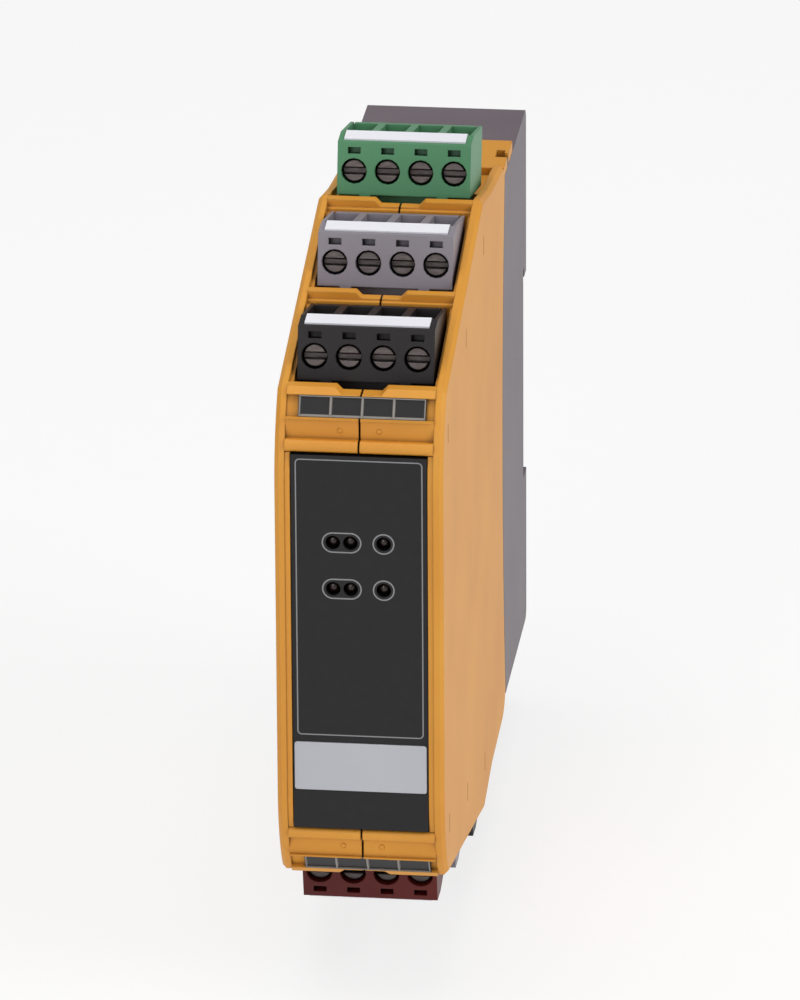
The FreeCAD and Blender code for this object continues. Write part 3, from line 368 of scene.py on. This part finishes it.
white_strip = moulded_plastic("white_strip", "#F2F2F8", "#ECECF3",
                              grain=0.4 * MM, roughness=0.4, edge=0.05 * MM)
for node in nodes:
    if node.endswith("_marker"):
        dress(node, white_strip)

MARKER_CELLS = 4
MARKER_TILT = math.radians(31.0)
MARKER_THICKNESS = 0.8 * MM
MARKER_LINE = 0.2 * MM


def marker_plate(node, up):
    """Engraving laminate: black cells inside pale raised borders."""
    material, tree, place = new_material(f"{node}_laminate")
    axes = add(tree, "SeparateXYZ", {"Vector": place}).outputs
    low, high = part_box(node)
    lean = MARKER_THICKNESS * math.sin(MARKER_TILT)
    foot, head = (low[2] + lean, high[2]) if up > 0 else (low[2], high[2] - lean)
    pitch = (high[0] - low[0] - MARKER_LINE) / MARKER_CELLS
    half_height = (head - foot - MARKER_LINE * math.cos(MARKER_TILT)) / 2
    masks = []
    for cell in range(MARKER_CELLS):
        middle = low[0] + MARKER_LINE / 2 + pitch * (cell + 0.5)
        masks.append(rounded_frame(tree, axes["X"], axes["Z"], (middle, (foot + head) / 2),
                                   (pitch / 2, half_height), 0.0, MARKER_LINE))
    speck = noise(tree, place, size=0.3 * MM, detail=2.0)
    lined_sheet(tree, masks, ("#171516", "#1F1C1D"), "#9A958F", speck, gloss=(0.35, 0.5),
                edge=0.05 * MM)
    return material


for node, up in (("top_marker_plate", 1), ("bottom_marker_plate", -1)):
    dress(node, marker_plate(node, up))

# Plugs and headers. Each plug is a small moulding coded by colour, with zinc-plated screws
# and clamping cages; it pushes into a black pin header with tinned brass pins.

PLUG_COLOURS = {
    "black": ("#221E20", "#1D191B"),
    "grey": ("#8F8992", "#87818A"),
    "green": ("#569169", "#4E8861"),
    "red_brown": ("#5A1510", "#50110D"),
}
record_slots = {entry["node"]: entry["material_slot"] for entry in frame["record"]["subparts"]}
plug_finish = {
    name: moulded_plastic(f"{name}_polyamide", *pair, grain=0.4 * MM, roughness=0.45,
                          edge=0.2 * MM, **{"Specular IOR Level": 0.3})
    for name, pair in PLUG_COLOURS.items()
}
header_finish = moulded_plastic("header_polyester", "#2E2B2C", "#282526",
                                grain=0.4 * MM, roughness=0.5, edge=0.1 * MM)
cage_steel = drawn_metal("zinc_plated_cage", "#B9B9BC", "#98989C", line=0.3 * MM,
                         roughness=0.36, stretch=(1, 1, 0.3))
pin_brass = drawn_metal("tinned_brass", "#C8C4B8", "#A9A598", line=0.2 * MM,
                        roughness=0.3, stretch=(1, 1, 0.3))
for node in nodes:
    if node.endswith("_plug"):
        dress(node, plug_finish[record_slots[node].removesuffix("_plug")])
    elif node.endswith("_header"):
        dress(node, header_finish)
    elif node.endswith("_cages"):
        dress(node, cage_steel)
    elif node.endswith("_pins"):
        dress(node, pin_brass)

# Terminal screws. Cheese-head screws of dark zinc-plated steel with one wide sawn slot; each
# sits a little below the face of its plug and clamps the wire in the cage behind it.

PITCH = 5.08 * MM
POLES = 4
TILT = math.radians(12.6)
HEAD_LENGTH = 1.8 * MM
SLOT_WIDTH = 0.75 * MM
SLOT_DEPTH = 0.8 * MM
HEAD_EDGE = 0.22 * MM
SHANK_RADIUS = 1.1 * MM
SHANK_LENGTH = 8.8 * MM
HEAD_SEGMENTS = 48
SHANK_SEGMENTS = 16


def rod(mesh, radius, top, length, segments):
    """A round rod along Z that ends at top."""
    made = bmesh.ops.create_cone(mesh, cap_ends=True, segments=segments, radius1=radius,
                                 radius2=radius, depth=length)
    bmesh.ops.translate(mesh, verts=made["verts"], vec=(0, 0, top - length / 2))


def slotted_screw(radius):
    """One screw along Z with its slotted face at Z = 0."""
    mesh = bmesh.new()
    bmesh.ops.create_circle(mesh, cap_ends=True, segments=HEAD_SEGMENTS, radius=radius)
    bmesh.ops.translate(mesh, verts=mesh.verts, vec=(0, 0, -SLOT_DEPTH))
    bmesh.ops.bisect_plane(mesh, geom=mesh.verts[:] + mesh.edges[:] + mesh.faces[:],
                           plane_co=(0, SLOT_WIDTH / 2, 0), plane_no=(0, 1, 0),
                           clear_inner=True)
    grown = bmesh.ops.extrude_face_region(mesh, geom=mesh.faces[:])["geom"]
    lifted = [item for item in grown if isinstance(item, bmesh.types.BMVert)]
    bmesh.ops.translate(mesh, verts=lifted, vec=(0, 0, SLOT_DEPTH))
    rim = [edge for edge in mesh.edges
           if all(vert.co.z > -SLOT_DEPTH / 2 for vert in edge.verts)]
    bmesh.ops.bevel(mesh, geom=rim, offset=HEAD_EDGE, segments=3, profile=0.5,
                    affect="EDGES", material=-1)
    half = bmesh.ops.duplicate(mesh, geom=mesh.verts[:] + mesh.edges[:] + mesh.faces[:])
    turned = [item for item in half["geom"] if isinstance(item, bmesh.types.BMVert)]
    bmesh.ops.rotate(mesh, verts=turned, matrix=Matrix.Rotation(math.pi, 3, "Z"))
    bmesh.ops.recalc_face_normals(mesh, faces=mesh.faces)
    rod(mesh, radius, -SLOT_DEPTH, HEAD_LENGTH - SLOT_DEPTH, HEAD_SEGMENTS)
    rod(mesh, SHANK_RADIUS, -HEAD_LENGTH, SHANK_LENGTH, SHANK_SEGMENTS)
    return mesh


screw_steel = drawn_metal("zinc_plated_screw", "#68615F", "#443E3D", line=0.35 * MM,
                          roughness=0.34, stretch=(0.3, 1, 1))
for node in [name for name in nodes if name.endswith("_screws")]:
    low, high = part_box(node)
    up = 1 if node.startswith("top") else -1
    radius = (high[0] - low[0] - PITCH * (POLES - 1)) / 2
    outer_end = high[2] if up > 0 else low[2]
    outward = Vector((0, -math.cos(TILT), math.sin(TILT) * up))
    across = Vector((1, 0, 0))
    face_up = outward.cross(across)
    screws = bmesh.new()
    for place in range(POLES):
        middle = Vector((low[0] + radius + PITCH * place,
                         low[1] + radius * math.sin(TILT),
                         outer_end - radius * math.cos(TILT) * up))
        single = slotted_screw(radius)
        turn = Matrix((across, face_up, outward)).transposed().to_4x4()
        single.transform(Matrix.Translation(middle) @ turn)
        single_data = bpy.data.meshes.new("one_screw")
        single.to_mesh(single_data)
        single.free()
        screws.from_mesh(single_data)
        bpy.data.meshes.remove(single_data)
    unit = node.removesuffix("_screws") + "_plug_unit"
    piece = new_piece(node.removesuffix("s") + "_heads", screws, screw_steel, unit)
    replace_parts(piece, node)

# Boards and what they carry. Green epoxy laminate, pale relay cases, sleeved capacitors and
# dark chips; all of it is closed in, and shows only through the gaps beside the plugs.

board_laminate = moulded_plastic("board_laminate", "#1F5A38", "#194C2F",
                                 grain=0.6 * MM, roughness=0.35, edge=0.05 * MM)
for node in ("left_board", "right_board", "front_board"):
    dress(node, board_laminate)
relay_case = moulded_plastic("relay_case", "#E2E0DA", "#DAD8D1",
                             grain=0.5 * MM, roughness=0.45, edge=0.3 * MM)
for node in ("upper_relay", "lower_relay"):
    dress(node, relay_case)
capacitor_sleeve = moulded_plastic("capacitor_sleeve", "#23283A", "#1C2030",
                                   grain=0.5 * MM, roughness=0.3, edge=0.4 * MM)
dress("capacitors", capacitor_sleeve)
chip_resin = moulded_plastic("chip_resin", "#26262A", "#1E1E21",
                             grain=0.4 * MM, roughness=0.55, edge=0.1 * MM)
dress("controller_chips", chip_resin)

# Stage. The module stands over a wide white paper sheet, in a pale room with three soft
# boxes: the key on its right, one overhead and a weaker one in front.

SHEET_REACH = 3.0
SHEET_DROP = 1 * MM
SHEET_GLOW = 0.75
AMBIENT = 0.34
BACKDROP = 1.0
WHITE = [1, 1, 1, 1]


def white_sheet():
    """Paper sheet that shows white to the camera and in reflections, and keeps shadows."""
    material, tree, place = new_material("white_paper")
    fibre = noise(tree, place, size=4 * MM, detail=2.0)
    tone = blend(tree, fibre, linear("#FAFAFA"), linear("#F6F6F6"))
    paper = add(tree, "BsdfDiffuse", {"Color": tone})
    glow = add(tree, "Emission", {"Color": WHITE, "Strength": BACKDROP})
    path = add(tree, "LightPath").outputs
    seen = calculate(tree, "MAXIMUM", path["Is Camera Ray"], path["Is Glossy Ray"])
    share = calculate(tree, "MULTIPLY", seen, SHEET_GLOW)
    mixed = add(tree, "MixShader", {"Fac": share, 1: paper.outputs[0], 2: glow.outputs[0]})
    add(tree, "OutputMaterial", {"Surface": mixed.outputs[0]})
    return material


sheet_mesh = bmesh.new()
bmesh.ops.create_grid(sheet_mesh, x_segments=1, y_segments=1, size=SHEET_REACH)
bmesh.ops.translate(sheet_mesh, verts=sheet_mesh.verts,
                    vec=(0, 0, cad_box[0][2] - SHEET_DROP))
sheet_data = bpy.data.meshes.new("floor")
sheet_mesh.to_mesh(sheet_data)
sheet_mesh.free()
floor = bpy.data.objects.new("floor", sheet_data)
floor.data.materials.append(white_sheet())
bpy.context.scene.collection.objects.link(floor)

world = bpy.data.worlds.new("studio")
world.use_nodes = True
bpy.context.scene.world = world
world_tree = world.node_tree
world_tree.nodes.clear()
ambient = add(world_tree, "Background", {"Color": WHITE, "Strength": AMBIENT})
shown = add(world_tree, "Background", {"Color": WHITE, "Strength": BACKDROP})
rays = add(world_tree, "LightPath").outputs
backdrop = add(world_tree, "MixShader", {"Fac": rays["Is Camera Ray"], 1: ambient.outputs[0],
                                         2: shown.outputs[0]})
add(world_tree, "OutputWorld", {"Surface": backdrop.outputs[0]})


def soft_box(name, position, size, power):
    """A large square lamp that points at the middle of the module."""
    data = bpy.data.lights.new(name, "AREA")
    data.size = size
    data.energy = power
    lamp = bpy.data.objects.new(name, data)
    middle = (Vector(cad_box[0]) + Vector(cad_box[1])) / 2
    lamp.location = position
    lamp.rotation_euler = (middle - Vector(position)).to_track_quat("-Z", "Y").to_euler()
    bpy.context.scene.collection.objects.link(lamp)


soft_box("key_box", position=(0.9, -0.35, 0.55), size=0.6, power=4.6)
soft_box("top_box", position=(-0.1, -0.1, 1.1), size=0.7, power=5.2)
soft_box("front_box", position=(-0.35, -1.1, 0.35), size=0.5, power=3.0)

# Camera. It looks slightly down on the front from a little to the right of it, from far
# enough away that the depth of the module shrinks only a little.

AZIMUTH = math.radians(6.628)
ELEVATION = math.radians(21.611)
ROLL = 0.006
PIVOT = Vector((0, -116.5, 11.321)) * MM
OFFSET = Vector((-6.128, -11.656, 1401.723)) * MM
FOCAL_LENGTH = 342.3
VIEW_REACH = 20

right = Vector((math.cos(AZIMUTH), math.sin(AZIMUTH), 0))
ahead = Vector((-math.sin(AZIMUTH) * math.cos(ELEVATION),
                math.cos(AZIMUTH) * math.cos(ELEVATION), -math.sin(ELEVATION)))
above = right.cross(ahead)
eye = PIVOT - (right * OFFSET.x + above * OFFSET.y + ahead * OFFSET.z)
rolled_right = right * math.cos(ROLL) - above * math.sin(ROLL)
rolled_above = above * math.cos(ROLL) + right * math.sin(ROLL)
camera_data = bpy.data.cameras.new("camera")
camera_data.lens = FOCAL_LENGTH
camera_data.clip_end = VIEW_REACH
camera = bpy.data.objects.new("camera", camera_data)
turn = Matrix((rolled_right, rolled_above, -ahead)).transposed().to_4x4()
camera.matrix_world = Matrix.Translation(eye) @ turn
bpy.context.scene.collection.objects.link(camera)
bpy.context.scene.camera = camera
bpy.context.scene.view_settings.view_transform = "Standard"
